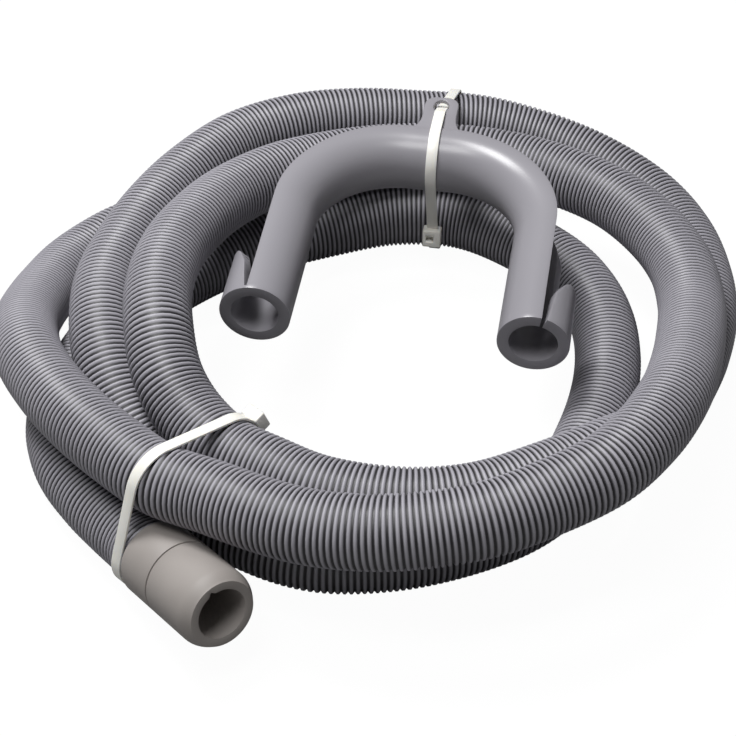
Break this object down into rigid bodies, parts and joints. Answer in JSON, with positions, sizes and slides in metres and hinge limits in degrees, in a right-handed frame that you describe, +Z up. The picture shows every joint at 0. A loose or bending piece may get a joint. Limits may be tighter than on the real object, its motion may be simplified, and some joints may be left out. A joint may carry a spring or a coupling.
{
  "type": "washing machine drain hose",
  "caption": "Coiled corrugated drain hose with a round rubber cuff at each end, a clip-on U-bend hose guide and two cable ties.",
  "frame": {"origin": "middle of the foot: the centre of the bounding box in X and Y, on the floor", "axes": "+Z up from the floor, +Y from the open cuff in front towards the guide's crown at the back, +X to the right"},
  "size_m": [0.3065, 0.3175, 0.0743],
  "materials": {
    "hose": "satin grey corrugated plastic",
    "cuff": "matte warm grey",
    "guide": "smooth light grey",
    "tie": "natural white"
  },
  "bodies": {
    "root": {"corrugated_hose": "hose", "inlet_cuff": "cuff", "outlet_cuff": "cuff", "hose_guide": "guide", "bundle_cable_tie": "tie", "guide_cable_tie": "tie"}
  },
  "joints": []
}
